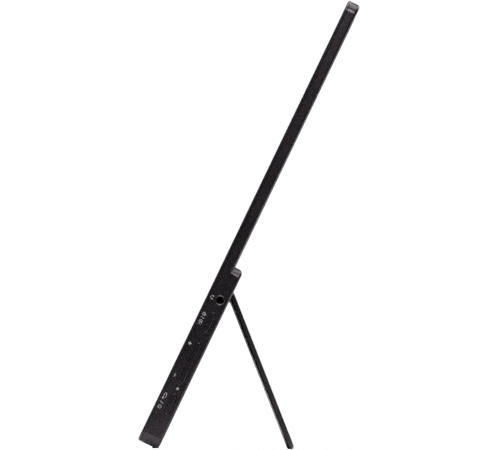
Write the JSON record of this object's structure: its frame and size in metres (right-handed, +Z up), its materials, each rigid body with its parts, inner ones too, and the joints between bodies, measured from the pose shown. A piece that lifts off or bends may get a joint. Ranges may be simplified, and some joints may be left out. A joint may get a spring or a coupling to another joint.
{
  "type": "digital photo frame",
  "caption": "Slim black display leaning back on a fold-out rear leg, with a thicker lower housing that carries push keys, a rocker and sockets in its sides.",
  "frame": {"origin": "on the supporting surface, under the middle of the footprint box: the open stand and the panel", "axes": "+Z up; the screen faces -Y and leans back towards +Y; +X is the right-hand side for someone who looks at the screen, the side with the keys"},
  "size_m": [0.3574, 0.1002, 0.2063],
  "materials": {
    "casing": "near-black moulded plastic, fine satin texture",
    "stand": "near-black moulded plastic, fine satin texture",
    "keys": "near-black plastic, slightly smoother than the casing",
    "screen": "dark anti-glare screen glass, switched off",
    "white_sheet": "white diffusing and reflecting film",
    "clear_sheet": "clear acrylic",
    "lamp": "milky white, clear-cut end",
    "steel": "plain rolled steel sheet",
    "hinge_steel": "plain turned and pressed steel",
    "dark_screw": "blackened steel",
    "socket_ring": "dark plastic with a thin grey rim",
    "board": "green solder mask",
    "chip": "black moulding compound",
    "lead": "black insulation",
    "ribbon": "pale flat ribbon",
    "rubber": "matt black rubber"
  },
  "bodies": {
    "frame": {"front_bezel": "casing", "screen_cell": "screen", "diffuser_films": "white_sheet", "light_guide": "clear_sheet", "reflector_sheet": "white_sheet", "backlight_strip": "lamp", "screen_tray": "steel", "screen_driver_board": "board", "screen_ribbon": "ribbon", "rear_cover": "casing", "main_board": "board", "shield_can": "steel", "processor": "chip", "headphone_socket": "socket_ring", "port_board": "board", "port_ribbon": "ribbon", "power_socket": "steel", "data_socket": "steel", "card_socket": "steel", "key_board": "board", "key_ribbon": "ribbon", "menu_switch": "chip", "plus_switch": "chip", "minus_switch": "chip", "power_switch": "chip", "status_light_pipe": "lamp", "speaker_right": "chip", "speaker_left": "chip", "speaker_lead_right": "lead", "speaker_lead_left": "lead", "bottom_pad_right": "rubber", "bottom_pad_left": "rubber", "cover_screw_lower_right": "dark_screw", "cover_screw_upper_right": "dark_screw", "hinge_bracket_right": "hinge_steel", "hinge_screw_upper_right": "hinge_steel", "hinge_screw_lower_right": "hinge_steel", "cover_screw_lower_left": "dark_screw", "cover_screw_upper_left": "dark_screw", "hinge_bracket_left": "hinge_steel", "hinge_screw_upper_left": "hinge_steel", "hinge_screw_lower_left": "hinge_steel"},
    "stand": {"stand_leg": "stand", "stand_foot": "rubber", "hinge_shaft_right": "hinge_steel", "hinge_washer_right": "hinge_steel", "hinge_nut_right": "hinge_steel", "hinge_shaft_left": "hinge_steel", "hinge_washer_left": "hinge_steel", "hinge_nut_left": "hinge_steel"},
    "menu_key": {"menu_button": "keys"},
    "volume_key": {"volume_rocker": "keys"},
    "power_key": {"power_button": "keys"}
  },
  "joints": [
    {"name": "stand_hinge", "type": "hinge", "parent": "frame", "child": "stand", "pos_m": [-0.0002, -0.00978, 0.07316], "axis": [1, 0, 0], "range_deg": [-47.01, 0]},
    {"name": "menu_press", "type": "slide", "parent": "frame", "child": "menu_key", "axis": [-1, 0, 0], "range_m": [0, 0.0004], "stiffness_N_per_m": 1000, "springref_m": -0.001},
    {"name": "volume_rock", "type": "hinge", "parent": "frame", "child": "volume_key", "pos_m": [0.1764, -0.02655, 0.03939], "axis": [0, 0.9048, -0.4258], "range_deg": [-1.8, 1.8], "stiffness_Nm_per_rad": 0.4},
    {"name": "power_press", "type": "slide", "parent": "frame", "child": "power_key", "axis": [-1, 0, 0], "range_m": [0, 0.0004], "stiffness_N_per_m": 1000, "springref_m": -0.001}
  ]
}
